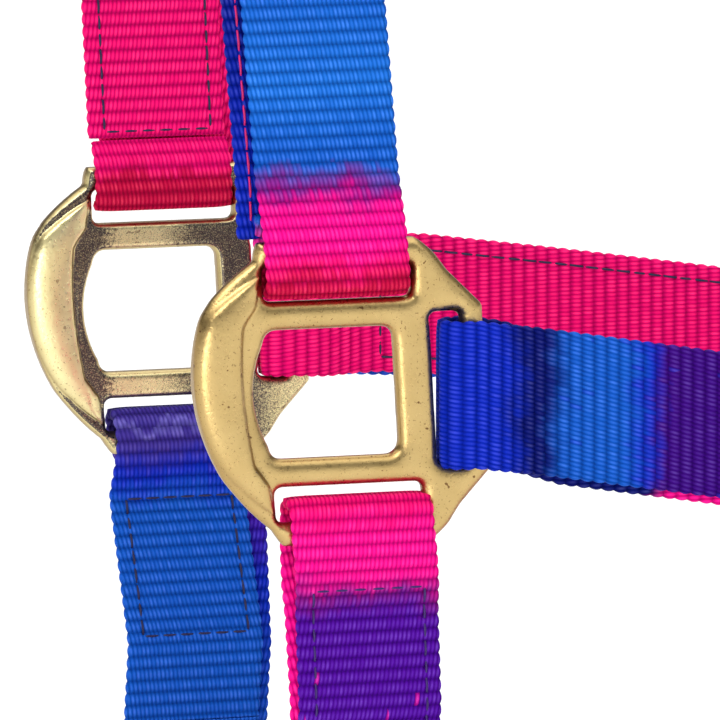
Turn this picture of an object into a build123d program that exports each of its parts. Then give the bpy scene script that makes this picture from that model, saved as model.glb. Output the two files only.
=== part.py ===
from build123d import *
import os
from math import cos, radians, sqrt, tan

# A webbing head halter for a horse or pony.
# Origin: where the crown strap rests on the poll, +Z up, nose towards -X,
# the horse's near (left) side at -Y.  All sizes in millimetres.

os.makedirs("parts", exist_ok=True)

# ---- driving dimensions -------------------------------------------------
WEB_W = 25.4            # webbing width
WEB_T = 2.3             # thickness of one ply
HALF_SPAN = 54.0        # head centre line to the strap mid planes
LINK = 150.0            # cheek strap length between its two bars
GAP = 0.35              # slack between a loop and the bar in it
CROWN_RISE = 245.0      # poll down to the cheek rings
CHEEK_DROP = 21.0       # the cheek rings sit this much below the squares

# cast halter square, measured from the centre of its window
WINDOW_W = 23.4
WINDOW_H = 22.4
SQUARE_T = 4.0          # plate and bars
DEE_T = 6.4             # thicker curved front bar
RAIL_IN = 22.3          # inner edge of the top and bottom rails
RAIL_OUT = 26.4
REAR_RAIL_IN = 24.0
REAR_RAIL_OUT = 28.0
SLOT_IN = 16.1          # inner edge of the top and bottom slots
REAR_SLOT_IN = 17.5
SLOT_LEN = 26.6
DEE_REACH = 23.7        # window centre to the front of the curved bar
DEE_TIP = 10.9          # the curved bar's ends, forward of the centre
DEE_INSET = 2.8         # the thick crescent stops short of the outline
WINDOW_CORNER = 2.2
BELLY = 2.2             # the window and the crescent bow forward this much
SLOT_CORNER = 1.2
RAIL_CORNER = 3.0       # the outline is cut off this far beyond a slot's end
REAR_CORNER = 1.0
SLANT = tan(radians(3.4))   # nose straps lean back towards the chin

# cheek rings and lead ring
RING_CORNER = 4.0
RING_WIRE = 5.0
RING_HOLE = 32.0
LEAD_WIRE = 6.0
LEAD_R = 26.0
LEAD_ROOM = 0.8         # slack of the long loops on the lead ring
WIRE_BEND = 1.0         # inside radius where frame wire is bent

# nose and chin loop
NOSE_LEG = 70.0         # square centre up to the arch
CHIN_DEPTH = 100.0      # square centre down to the lead ring
CHIN_BEND = 22.0
LOOP_SLACK = 0.75       # room for the lean of the straps on the rails
INNER_SHORT = 2.0       # the inner ply starts clear of the fold

# throat strap and jaw strap
THROAT_BEND = 34.0
THROAT_START = 77.0     # cheek ring centre down to the bend
SWING = 18.0            # sideways swing of the links, each way
JAW_ROOM = 1.6          # the rear loop's spare length at each end
JAW_LIFT = 0.8          # and its spare height
JAW_FRONT_FROM = 8.0    # the front loop, forward of the swing axis
JAW_FRONT_TO = 9.8

# crown buckle
WIRE = 4.4              # buckle wire
ROLLER_D = 7.0
HEEL_UP = 60.0          # heel bar above the ring's top bar
HEEL_Y = -48.3
ROLLER_Y = -61.0
ROLLER_UP = 23.75       # roller above the heel bar
BUCKLE_HALF_W = 16.5
TONGUE_D = 3.0
HOLE_D = 6.4
EYELET_D = 10.5
EYELET_T = 0.45
EYELET_STEP = 19.0
PUNCH = 1.0             # the hole punch runs past both faces
HOLE_LIFT = 1.2         # the hole in use sits just above the heel bar
LAP = 60.0              # sewn lap above the far ring
BILLET_Z = -199.0       # tip of the billet
TONGUE_SLOT = 6.0
TONGUE_EYE = 2.4
TONGUE_KNEE = 5.0
TONGUE_TIP = 5.0
TONGUE_BEND = 3.0
TONGUE_ROOT = 3.2       # the shank starts inside the wall of its eye
TAB_NOTCH = 12.8        # height of the tab's opening for the tongue
KEEPER_H = 8.0
KEEPER_T = 1.8
KEEPER_IN = -46.4
KEEPER_OUT = -57.2
KEEPER_ROOM = 1.0       # slack at each edge of the strap
KEEPER_CORNER = 2.4
FIXED_DROP = 15.0
SLIDING_DROP = 32.0

# bolt snap
HOOK_IN = 4.5
HOOK_OUT = 9.3
HOOK_T = 6.0
BODY_DOWN = 9.0         # hook centre down to the body
BODY_LEN = 27.0
BODY_W = 20.0
BODY_T = 10.0
BODY_SHIFT = 1.2
BODY_CORNER = 3.0
BODY_SHOULDER = 4.0     # the body's top corners stay square
GATE_TOP = 0.5
BOLT_D = 4.4
BOLT_BORE = 21.0
BOLT_IN_BODY = 9.0
BOLT_TRAVEL = 7.0
STUD_D = 3.2
STUD_LEN = 7.0
STUD_SLOT_DOWN = 2.5
POST_D = 4.4
POST_LEN = 4.6
POST_HEAD_D = 7.0
POST_HEAD_H = 1.8
SPRING_WIRE = 0.6
SPRING_R = 1.9
SPRING_TURNS = 6
EYE_WIRE = 4.0
EYE_HALF_W = 15.6
EYE_SHOULDER = 4.5
EYE_DROP = 17.0

# ---- places worked out from them ---------------------------------------
RING_C = (RING_HOLE + RING_WIRE) / 2
RING_Z = -CROWN_RISE
SQUARE_Z = RING_Z + CHEEK_DROP
RAIL_X = -RING_C - LINK
RAIL_MID = (RAIL_IN + RAIL_OUT) / 2
REAR_RAIL_MID = (REAR_RAIL_IN + REAR_RAIL_OUT) / 2
SQUARE_X = RAIL_X - REAR_RAIL_MID
LEAD_Z = SQUARE_Z - CHIN_DEPTH
CHIN_BEND_Z = LEAD_Z + CHIN_BEND
LEAD_X = SQUARE_X + SLANT * (CHIN_DEPTH - CHIN_BEND)
THROAT_Z = RING_Z - THROAT_START - THROAT_BEND
HEEL_Z = RING_Z + RING_C + HEEL_UP
ROLLER_Z = HEEL_Z + ROLLER_UP
HALF_W = WEB_W / 2


def side_plane(y):
    """A sketch plane seen from the near side: local x is X, local y is Z."""
    return Plane(origin=(0, y, 0), x_dir=(1, 0, 0), z_dir=(0, -1, 0))


def front_plane(x):
    """A sketch plane across the head: local x is Y, local y is Z."""
    return Plane(origin=(x, 0, 0), x_dir=(0, 1, 0), z_dir=(1, 0, 0))


def save(part, name):
    part.label = name
    export_step(part, f"parts/{name}.step")


# ---- outlines shared by several pieces -----------------------------------
def outline(*points):
    """A flat shape with straight sides."""
    with BuildSketch() as shape:
        with BuildLine():
            Polyline(*points, close=True)
        make_face()
    return shape.sketch


def rounded(radius, *points):
    """A flat shape with straight sides and rounded corners."""
    with BuildSketch() as shape:
        with BuildLine():
            FilletPolyline(*points, radius=radius, close=True)
        make_face()
    return shape.sketch


def hoop(inside, thickness=WEB_T):
    """Webbing folded round a bar, seen along the bar."""
    with BuildSketch() as shape:
        Circle(inside + thickness)
        Circle(inside, mode=Mode.SUBTRACT)
    return shape.sketch


def long_hoop(start, end, half_height):
    """Webbing folded round a curved bar in a long loop that runs along local x."""
    with BuildSketch() as shape:
        with Locations(((start + end) / 2, 0)):
            SlotOverall(end - start + 2 * WEB_T, 2 * (half_height + WEB_T))
            SlotOverall(end - start, 2 * half_height, mode=Mode.SUBTRACT)
    return shape.sketch


# ---- halter squares -----------------------------------------------------
def lean(x, z):
    """A point of the casting, leaned back towards the chin."""
    return (SQUARE_X + x - SLANT * z, SQUARE_Z + z)


def cut_out(x0, x1, z0, z1, corner):
    """One slot or window of the casting."""
    return rounded(corner, lean(x0, z0), lean(x1, z0), lean(x1, z1), lean(x0, z1))


def square_outline():
    """The whole casting: straight rails behind, the curved bar in front."""
    corner = SLOT_LEN / 2
    with BuildSketch() as shape:
        with BuildLine():
            Polyline(
                lean(-DEE_TIP, -RAIL_OUT),
                lean(corner + RAIL_CORNER, -RAIL_OUT),
                lean(REAR_RAIL_OUT, -corner - REAR_CORNER),
                lean(REAR_RAIL_OUT, corner + REAR_CORNER),
                lean(corner + RAIL_CORNER, RAIL_OUT),
                lean(-DEE_TIP, RAIL_OUT),
            )
            ThreePointArc(lean(-DEE_TIP, RAIL_OUT), lean(-DEE_REACH, 0), lean(-DEE_TIP, -RAIL_OUT))
        make_face()
    return shape.sketch


def dee_outline():
    """The crescent of the curved bar, which is thicker than the rest."""
    top = lean(-DEE_TIP - DEE_INSET, RAIL_OUT - 2 * DEE_INSET)
    bottom = lean(-DEE_TIP - DEE_INSET, -RAIL_OUT + 2 * DEE_INSET)
    with BuildSketch() as shape:
        with BuildLine():
            ThreePointArc(top, lean(-DEE_REACH, 0), bottom)
            ThreePointArc(bottom, lean(-DEE_TIP - DEE_INSET - BELLY, 0), top)
        make_face()
    return shape.sketch


HALF_SLOT = SLOT_LEN / 2
HALF_WINDOW_W = WINDOW_W / 2
HALF_WINDOW_H = WINDOW_H / 2


def window_outline():
    """The window: square behind, bowed forward along the curved bar."""
    upper = lean(-HALF_WINDOW_W, HALF_WINDOW_H - WINDOW_CORNER)
    lower = lean(-HALF_WINDOW_W, WINDOW_CORNER - HALF_WINDOW_H)
    with BuildSketch() as shape:
        add(cut_out(-HALF_WINDOW_W, HALF_WINDOW_W, -HALF_WINDOW_H, HALF_WINDOW_H, WINDOW_CORNER))
        with BuildLine():
            ThreePointArc(upper, lean(-HALF_WINDOW_W - BELLY, 0), lower)
            Line(lower, upper)
        make_face()
    return shape.sketch


SLOTS = [
    cut_out(-HALF_SLOT, HALF_SLOT, SLOT_IN, RAIL_IN, SLOT_CORNER),
    cut_out(-HALF_SLOT, HALF_SLOT, -RAIL_IN, -SLOT_IN, SLOT_CORNER),
    cut_out(REAR_SLOT_IN, REAR_RAIL_IN, -HALF_SLOT, HALF_SLOT, SLOT_CORNER),
]
for side, out in (("near", -1), ("far", 1)):
    middle = side_plane(out * HALF_SPAN)
    with BuildPart() as square:
        with BuildSketch(middle):
            add(square_outline())
            add(window_outline(), mode=Mode.SUBTRACT)
            for slot in SLOTS:
                add(slot, mode=Mode.SUBTRACT)
        extrude(amount=SQUARE_T / 2, both=True)
        with BuildSketch(middle):
            add(dee_outline())
        extrude(amount=DEE_T / 2, both=True)
    save(square.part, f"square_{side}")

# ---- noseband: outer ply with its two loops, and a shorter inner ply -----
NOSE_ARCH_Z = SQUARE_Z + NOSE_LEG
NOSE_ARCH_X = SQUARE_X - SLANT * NOSE_LEG
LOOP_IN = (RAIL_OUT - RAIL_IN) / 2 + GAP + LOOP_SLACK
RAIL_UP = SQUARE_Z + RAIL_MID
RAIL_DOWN = SQUARE_Z - RAIL_MID


def half_arch(radius):
    """One ply over the nose, seen from the front."""
    with BuildSketch() as shape:
        with Locations((0, NOSE_ARCH_Z)):
            Circle(radius + WEB_T)
            Circle(radius, mode=Mode.SUBTRACT)
            Rectangle(3 * radius, 2 * radius, align=(Align.CENTER, Align.MAX), mode=Mode.SUBTRACT)
    return shape.sketch


def leaning_strip(z_low, z_high):
    """The side outline of a nose or chin strap, between two heights."""
    x_low = SQUARE_X - SLANT * (z_low - SQUARE_Z)
    x_high = SQUARE_X - SLANT * (z_high - SQUARE_Z)
    return outline(
        (x_low - HALF_W, z_low),
        (x_low + HALF_W, z_low),
        (x_high + HALF_W, z_high),
        (x_high - HALF_W, z_high),
    )


with BuildPart() as noseband_outer:
    with BuildSketch(front_plane(NOSE_ARCH_X)):
        add(half_arch(HALF_SPAN))
    extrude(amount=HALF_W, both=True)
    for out in (-1, 1):
        with BuildSketch(side_plane(out * HALF_SPAN)):
            add(leaning_strip(RAIL_UP + LOOP_IN, NOSE_ARCH_Z))
        extrude(amount=-out * WEB_T)
        with BuildSketch(front_plane(SQUARE_X - SLANT * RAIL_MID)):
            with Locations((out * HALF_SPAN, RAIL_UP)):
                add(hoop(LOOP_IN))
        extrude(amount=HALF_W, both=True)
save(noseband_outer.part, "noseband_outer")

INNER_START = RAIL_UP + LOOP_IN + WEB_T + INNER_SHORT
with BuildPart() as noseband_inner:
    with BuildSketch(front_plane(NOSE_ARCH_X)):
        add(half_arch(HALF_SPAN - WEB_T))
    extrude(amount=HALF_W, both=True)
    for out in (-1, 1):
        with BuildSketch(side_plane(out * HALF_SPAN)):
            add(leaning_strip(INNER_START, NOSE_ARCH_Z))
        extrude(amount=out * WEB_T)
save(noseband_inner.part, "noseband_inner")

# ---- chin straps, one each side, from the square to the lead ring --------
LEAD_SAG = LEAD_R - sqrt(LEAD_R**2 - HALF_W**2)
LEAD_CLEAR = LEAD_WIRE / 2 + LEAD_ROOM
LEAD_IN = LEAD_R - LEAD_SAG - LEAD_CLEAR
LEAD_OUT = LEAD_R + LEAD_CLEAR
CHIN_TURN_Y = HALF_SPAN - CHIN_BEND
CHIN_STRAIGHT = CHIN_TURN_Y - LEAD_OUT - WEB_T / 2


def quarter_bend():
    """Both plies turning under the chin, to the right."""
    with BuildSketch() as shape:
        with Locations((CHIN_TURN_Y, CHIN_BEND_Z)):
            Circle(CHIN_BEND + WEB_T)
            Circle(CHIN_BEND - WEB_T, mode=Mode.SUBTRACT)
            Rectangle(3 * CHIN_BEND, 2 * CHIN_BEND, align=(Align.CENTER, Align.MIN), mode=Mode.SUBTRACT)
            Rectangle(2 * CHIN_BEND, 3 * CHIN_BEND, align=(Align.MAX, Align.CENTER), mode=Mode.SUBTRACT)
    return shape.sketch


for side, out in (("near", -1), ("far", 1)):
    across = Plane(origin=(LEAD_X, 0, 0), x_dir=(0, out, 0), z_dir=(out, 0, 0))
    with BuildPart() as chin:
        with BuildSketch(side_plane(out * HALF_SPAN)):
            add(leaning_strip(CHIN_BEND_Z, RAIL_DOWN - LOOP_IN))
        extrude(amount=WEB_T, both=True)
        with BuildSketch(front_plane(SQUARE_X + SLANT * RAIL_MID)):
            with Locations((out * HALF_SPAN, RAIL_DOWN)):
                add(hoop(LOOP_IN))
        extrude(amount=HALF_W, both=True)
        with BuildSketch(across):
            add(quarter_bend())
            with Locations((LEAD_OUT + WEB_T / 2, LEAD_Z)):
                Rectangle(CHIN_STRAIGHT, 2 * WEB_T, align=(Align.MIN, Align.CENTER))
            with Locations((0, LEAD_Z)):
                add(long_hoop(LEAD_IN, LEAD_OUT, LEAD_CLEAR))
        extrude(amount=HALF_W, both=True)
    save(chin.part, f"chin_strap_{side}")

with BuildPart(Plane(origin=(LEAD_X, 0, LEAD_Z))) as lead_ring:
    Torus(LEAD_R, LEAD_WIRE / 2)
save(lead_ring.part, "lead_ring")

# ---- cheek straps, sloping down from the squares to the cheek rings ------
CHEEK_LOOP = RING_WIRE / 2 + GAP
RAIL_HALF = (REAR_RAIL_OUT - REAR_RAIL_IN) / 2
RAIL_LOOP = sqrt((RAIL_HALF + SLANT * HALF_W) ** 2 + (SQUARE_T / 2) ** 2) + GAP


def wire_frame(path, diameter):
    """Round wire bent along a closed path."""
    with BuildPart() as frame:
        with BuildSketch(Plane(origin=path @ 0, z_dir=path % 0)):
            Circle(diameter / 2)
        sweep(path=path)
    return frame.part


for side, out in (("near", -1), ("far", 1)):
    y = out * HALF_SPAN
    front_x = RAIL_X + RAIL_LOOP
    rear_x = -RING_C - CHEEK_LOOP
    with BuildPart() as cheek:
        with BuildSketch(side_plane(y)):
            add(outline((front_x, SQUARE_Z - HALF_W), (rear_x, RING_Z - HALF_W),
                        (rear_x, RING_Z + HALF_W), (front_x, SQUARE_Z + HALF_W)))
        extrude(amount=WEB_T, both=True)
        ends = ((RAIL_X, SQUARE_Z, RAIL_LOOP), (-RING_C, RING_Z, CHEEK_LOOP))
        for x, z, inside in ends:
            with BuildSketch(Plane((x, y, z))):
                Circle(inside + WEB_T)
            extrude(amount=HALF_W, both=True)
        for x, z, inside in ends:
            with BuildSketch(Plane((x, y, z))):
                Circle(inside)
            extrude(amount=WEB_W, both=True, mode=Mode.SUBTRACT)
    save(cheek.part, f"cheek_strap_{side}")

    with BuildLine(side_plane(y)) as ring_line:
        FilletPolyline(
            (-RING_C, RING_Z + RING_C),
            (RING_C, RING_Z + RING_C),
            (RING_C, RING_Z - RING_C),
            (-RING_C, RING_Z - RING_C),
            radius=RING_CORNER,
            close=True,
        )
    save(wire_frame(ring_line.line, RING_WIRE), f"cheek_ring_{side}")

# ---- crown strap, from the far ring over the poll to the buckle ----------
RING_TOP = RING_Z + RING_C
RING_BOTTOM = RING_Z - RING_C
CROWN_ARCH_Z = -HALF_SPAN
CROWN_NEAR = -HALF_SPAN - WEB_T
HOLES_Z = [HEEL_Z + HOLE_LIFT + EYELET_STEP * step for step in (-1, 0, 1, 2, 3)]


def crown_arch():
    """The single ply over the poll, seen from the front."""
    with BuildSketch() as shape:
        with Locations((0, CROWN_ARCH_Z)):
            Circle(HALF_SPAN + WEB_T)
            Circle(HALF_SPAN, mode=Mode.SUBTRACT)
            Rectangle(3 * HALF_SPAN, 2 * HALF_SPAN, align=(Align.CENTER, Align.MAX), mode=Mode.SUBTRACT)
    return shape.sketch


with BuildPart() as crown_strap:
    with BuildSketch(front_plane(0)):
        add(crown_arch())
        add(outline((HALF_SPAN, CROWN_ARCH_Z), (HALF_SPAN + WEB_T, CROWN_ARCH_Z),
                    (HALF_SPAN + WEB_T, RING_TOP + CHEEK_LOOP), (HALF_SPAN, RING_TOP + CHEEK_LOOP)))
        add(outline((HALF_SPAN, RING_TOP + LAP), (HALF_SPAN - WEB_T, RING_TOP + LAP),
                    (HALF_SPAN - WEB_T, RING_TOP + CHEEK_LOOP), (HALF_SPAN, RING_TOP + CHEEK_LOOP)))
        with Locations((HALF_SPAN, RING_TOP)):
            add(hoop(CHEEK_LOOP))
        add(outline((-HALF_SPAN, CROWN_ARCH_Z), (CROWN_NEAR, CROWN_ARCH_Z),
                    (CROWN_NEAR, BILLET_Z), (-HALF_SPAN, BILLET_Z)))
    extrude(amount=HALF_W, both=True)
    for hole_z in HOLES_Z:
        with BuildSketch(Plane(origin=(0, -HALF_SPAN + PUNCH, hole_z), z_dir=(0, -1, 0))):
            Circle(HOLE_D / 2 + EYELET_T)
        extrude(amount=WEB_T + 2 * PUNCH, mode=Mode.SUBTRACT)
save(crown_strap.part, "crown_strap")

with BuildPart() as crown_eyelets:
    for hole_z in HOLES_Z:
        with BuildSketch(Plane(origin=(0, -HALF_SPAN + EYELET_T, hole_z), z_dir=(0, -1, 0))):
            Circle(EYELET_D / 2)
            Circle(HOLE_D / 2, mode=Mode.SUBTRACT)
        extrude(amount=EYELET_T)
        with BuildSketch(Plane(origin=(0, -HALF_SPAN, hole_z), z_dir=(0, -1, 0))):
            Circle(HOLE_D / 2 + EYELET_T)
            Circle(HOLE_D / 2, mode=Mode.SUBTRACT)
        extrude(amount=WEB_T)
        with BuildSketch(Plane(origin=(0, CROWN_NEAR, hole_z), z_dir=(0, -1, 0))):
            Circle(EYELET_D / 2)
            Circle(HOLE_D / 2, mode=Mode.SUBTRACT)
        extrude(amount=EYELET_T)
save(crown_eyelets.part, "crown_eyelets")

# ---- crown buckle on its tab ---------------------------------------------
HEEL_LOOP = WIRE / 2 + GAP
TILT = Plane(
    origin=(0, HEEL_Y, HEEL_Z),
    x_dir=(1, 0, 0),
    z_dir=Vector(1, 0, 0).cross(Vector(0, ROLLER_Y - HEEL_Y, ROLLER_UP)).normalized(),
)
FRAME_LEN = sqrt((ROLLER_Y - HEEL_Y) ** 2 + ROLLER_UP**2)

with BuildPart() as buckle_tab:
    with BuildSketch(front_plane(0)):
        add(outline((-HALF_SPAN - WEB_T, RING_TOP), (-HALF_SPAN + WEB_T, RING_TOP),
                    (HEEL_Y + WEB_T, HEEL_Z), (HEEL_Y - WEB_T, HEEL_Z)))
        with Locations((-HALF_SPAN, RING_TOP)):
            Circle(CHEEK_LOOP + WEB_T)
            Circle(CHEEK_LOOP, mode=Mode.SUBTRACT)
        with Locations((HEEL_Y, HEEL_Z)):
            Circle(HEEL_LOOP + WEB_T)
            Circle(HEEL_LOOP, mode=Mode.SUBTRACT)
    extrude(amount=HALF_W, both=True)
    with BuildSketch(front_plane(0)):
        with Locations((HEEL_Y, HEEL_Z)):
            Rectangle(TAB_NOTCH, TAB_NOTCH)
    extrude(amount=TONGUE_SLOT / 2, both=True, mode=Mode.SUBTRACT)
save(buckle_tab.part, "buckle_tab")

with BuildLine(TILT) as buckle_line:
    FilletPolyline(
        (-BUCKLE_HALF_W, FRAME_LEN),
        (BUCKLE_HALF_W, FRAME_LEN),
        (BUCKLE_HALF_W, 0),
        (-BUCKLE_HALF_W, 0),
        radius=WIRE / 2 + WIRE_BEND,
        close=True,
    )
save(wire_frame(buckle_line.line, WIRE), "buckle_frame")

with BuildPart() as buckle_roller:
    with BuildSketch(Plane(origin=(0, ROLLER_Y, ROLLER_Z), z_dir=(1, 0, 0))):
        Circle(ROLLER_D / 2)
        Circle(WIRE / 2 + GAP / 2, mode=Mode.SUBTRACT)
    extrude(amount=BUCKLE_HALF_W - WIRE, both=True)
save(buckle_roller.part, "buckle_roller")

TONGUE_Z = HEEL_Z + HOLE_LIFT
TONGUE_OUT = ROLLER_Y - (ROLLER_D + TONGUE_D) / 2 - GAP
EYE_OUT = WIRE / 2 + GAP / 2 + TONGUE_EYE
with BuildPart() as buckle_tongue:
    with BuildSketch(Plane(origin=(0, HEEL_Y, HEEL_Z), z_dir=(1, 0, 0))):
        Circle(EYE_OUT)
    extrude(amount=TONGUE_SLOT / 2 - GAP, both=True)
    with BuildLine(Plane(origin=(0, 0, 0), x_dir=(0, 1, 0), z_dir=(1, 0, 0))) as shank:
        FilletPolyline(
            (HEEL_Y - TONGUE_ROOT, TONGUE_Z),
            (TONGUE_OUT + TONGUE_KNEE, TONGUE_Z),
            (TONGUE_OUT, TONGUE_Z + 2 * TONGUE_KNEE),
            (TONGUE_OUT, ROLLER_Z + TONGUE_TIP),
            radius=TONGUE_BEND,
        )
    with BuildSketch(Plane(origin=shank.line @ 0, z_dir=shank.line % 0)):
        Circle(TONGUE_D / 2)
    sweep(path=shank.line)
    with BuildSketch(Plane(origin=(0, HEEL_Y, HEEL_Z), z_dir=(1, 0, 0))):
        Circle(WIRE / 2 + GAP / 2)
    extrude(amount=WEB_W, both=True, mode=Mode.SUBTRACT)
save(buckle_tongue.part, "buckle_tongue")

KEEPER_W = WEB_W + 2 * KEEPER_ROOM
KEEPER_DEPTH = KEEPER_IN - KEEPER_OUT
for name, low in (("fixed_keeper", HEEL_Z - FIXED_DROP), ("sliding_keeper", HEEL_Z - SLIDING_DROP)):
    with BuildPart() as keeper:
        with BuildSketch(Plane.XY.offset(low)):
            with Locations((0, (KEEPER_IN + KEEPER_OUT) / 2)):
                RectangleRounded(KEEPER_W + 2 * KEEPER_T, KEEPER_DEPTH + 2 * KEEPER_T, KEEPER_CORNER)
                Rectangle(KEEPER_W, KEEPER_DEPTH, mode=Mode.SUBTRACT)
        extrude(amount=KEEPER_H)
    save(keeper.part, name)

# ---- throat strap with its bolt snap -------------------------------------
HOOK_Z = RING_BOTTOM + RING_WIRE / 2 + GAP - HOOK_IN
BODY_TOP = HOOK_Z - BODY_DOWN
BODY_BOTTOM = BODY_TOP - BODY_LEN
EYE_Z = BODY_BOTTOM - EYE_DROP
EYE_LOOP = EYE_WIRE / 2 + GAP
HOOK_PLANE = Plane(origin=(0, -HALF_SPAN, HOOK_Z), x_dir=(0, -1, 0), z_dir=(-1, 0, 0))
BOLT_Y = -HALF_SPAN - (HOOK_IN + HOOK_OUT) / 2
STUD_SLOT_TOP = BODY_TOP - STUD_SLOT_DOWN

with BuildPart() as snap_hook:
    with BuildSketch(HOOK_PLANE):
        Circle(HOOK_OUT)
        with Locations((0, -BODY_DOWN)):
            Rectangle(2 * HOOK_OUT, HOOK_OUT, align=(Align.CENTER, Align.MIN))
        Circle(HOOK_IN, mode=Mode.SUBTRACT)
        with Locations((HOOK_IN - 1, GATE_TOP)):
            Rectangle(HOOK_OUT, GATE_TOP + BODY_DOWN, align=(Align.MIN, Align.MAX), mode=Mode.SUBTRACT)
    extrude(amount=HOOK_T / 2, both=True)
    with BuildSketch(HOOK_PLANE):
        with Locations((BODY_SHIFT, -BODY_DOWN)):
            RectangleRounded(BODY_W, BODY_LEN, BODY_CORNER, align=(Align.CENTER, Align.MAX))
            Rectangle(BODY_W, BODY_SHOULDER, align=(Align.CENTER, Align.MAX))
    extrude(amount=BODY_T / 2, both=True)
    with BuildSketch(Plane(origin=(0, BOLT_Y, BODY_TOP), z_dir=(0, 0, -1))):
        Circle(BOLT_D / 2 + GAP)
    extrude(amount=BOLT_BORE, mode=Mode.SUBTRACT)
    with BuildSketch(Plane(origin=(0, BOLT_Y, STUD_SLOT_TOP), x_dir=(1, 0, 0), z_dir=(0, -1, 0))):
        Rectangle(STUD_D + 2 * GAP, STUD_D + BOLT_TRAVEL + 4 * GAP, align=(Align.CENTER, Align.MAX))
    extrude(amount=BODY_W, mode=Mode.SUBTRACT)
    with BuildSketch(Plane(origin=(0, -HALF_SPAN, BODY_BOTTOM))):
        Circle(POST_D / 2 + GAP)
    extrude(amount=POST_LEN + GAP, mode=Mode.SUBTRACT)
    with BuildSketch(Plane(origin=(0, -HALF_SPAN, BODY_BOTTOM + POST_LEN - POST_HEAD_H - GAP))):
        Circle(POST_HEAD_D / 2 + GAP)
    extrude(amount=POST_HEAD_H + 2 * GAP, mode=Mode.SUBTRACT)
save(snap_hook.part, "snap_hook")

BOLT_TIP = HOOK_Z + GATE_TOP - GAP / 2
BOLT_FOOT = BODY_TOP - BOLT_IN_BODY
with BuildPart() as snap_bolt:
    with BuildSketch(Plane(origin=(0, BOLT_Y, BOLT_FOOT))):
        Circle(BOLT_D / 2)
    extrude(amount=BOLT_TIP - BOLT_FOOT)
    with BuildSketch(Plane(origin=(0, BOLT_Y, STUD_SLOT_TOP - STUD_D / 2 - GAP), z_dir=(0, -1, 0))):
        Circle(STUD_D / 2)
    extrude(amount=STUD_LEN)
save(snap_bolt.part, "snap_bolt")

SPRING_HEIGHT = BOLT_BORE - BOLT_IN_BODY - 2 * GAP - SPRING_WIRE
with BuildPart() as snap_spring:
    with BuildLine(Plane(origin=(0, BOLT_Y, BODY_TOP - BOLT_BORE + GAP + SPRING_WIRE / 2))):
        coil = Helix(pitch=SPRING_HEIGHT / SPRING_TURNS, height=SPRING_HEIGHT, radius=SPRING_R)
    with BuildSketch(Plane(origin=coil @ 0, z_dir=coil % 0)):
        Circle(SPRING_WIRE / 2)
    sweep(path=coil, is_frenet=True)
save(snap_spring.part, "snap_spring")

with BuildPart() as snap_eye:
    with BuildLine(side_plane(-HALF_SPAN)) as eye_line:
        FilletPolyline(
            (-EYE_HALF_W, EYE_Z),
            (EYE_HALF_W, EYE_Z),
            (EYE_HALF_W, BODY_BOTTOM - EYE_SHOULDER),
            (-EYE_HALF_W, BODY_BOTTOM - EYE_SHOULDER),
            radius=EYE_WIRE / 2 + WIRE_BEND,
            close=True,
        )
    add(wire_frame(eye_line.line, EYE_WIRE))
    with BuildSketch(Plane(origin=(0, -HALF_SPAN, BODY_BOTTOM - EYE_SHOULDER))):
        Circle(POST_HEAD_D / 2)
    extrude(amount=EYE_SHOULDER - GAP)
    with BuildSketch(Plane(origin=(0, -HALF_SPAN, BODY_BOTTOM - EYE_SHOULDER))):
        Circle(POST_D / 2)
    extrude(amount=EYE_SHOULDER + POST_LEN - GAP)
    with BuildSketch(Plane(origin=(0, -HALF_SPAN, BODY_BOTTOM + POST_LEN - POST_HEAD_H))):
        Circle(POST_HEAD_D / 2)
    extrude(amount=POST_HEAD_H - GAP)
save(snap_eye.part, "snap_eye")

with BuildPart() as throat_strap:
    with BuildSketch(front_plane(0)):
        with BuildLine():
            FilletPolyline(
                (-HALF_SPAN, EYE_Z - EYE_LOOP),
                (-HALF_SPAN, THROAT_Z),
                (HALF_SPAN, THROAT_Z),
                (HALF_SPAN, RING_BOTTOM - CHEEK_LOOP),
                radius=THROAT_BEND,
            )
        trace(line_width=2 * WEB_T)
        with Locations((-HALF_SPAN, EYE_Z)):
            add(hoop(EYE_LOOP))
        with Locations((HALF_SPAN, RING_BOTTOM)):
            add(hoop(CHEEK_LOOP))
    extrude(amount=HALF_W, both=True)
save(throat_strap.part, "throat_strap")

# ---- jaw strap, from the lead ring back to the throat strap --------------
# Both end loops are roomy, because the strap swings sideways in them.
SWING_COS = cos(radians(SWING))
SWING_TAN = tan(radians(SWING))
REAR_FROM = (RING_C - HALF_W) / SWING_COS - HALF_W * SWING_TAN - JAW_ROOM
REAR_TO = (RING_C + HALF_W) / SWING_COS + HALF_W * SWING_TAN + JAW_ROOM

with BuildPart() as jaw_strap:
    with BuildSketch(side_plane(0)):
        with BuildLine():
            Line((RAIL_X + JAW_FRONT_TO + WEB_T / 2, LEAD_Z), (REAR_FROM - RING_C - WEB_T / 2, THROAT_Z))
        trace(line_width=2 * WEB_T)
        with Locations((RAIL_X, LEAD_Z)):
            add(long_hoop(-JAW_FRONT_FROM, JAW_FRONT_TO, LEAD_CLEAR))
        with Locations((-RING_C, THROAT_Z)):
            add(long_hoop(REAR_FROM, REAR_TO, WEB_T + JAW_LIFT))
    extrude(amount=HALF_W, both=True)
save(jaw_strap.part, "jaw_strap")
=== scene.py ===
# %% Webbing halter with cast brass squares
import math

import bpy
import numpy as np
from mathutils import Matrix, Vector, kdtree


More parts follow.
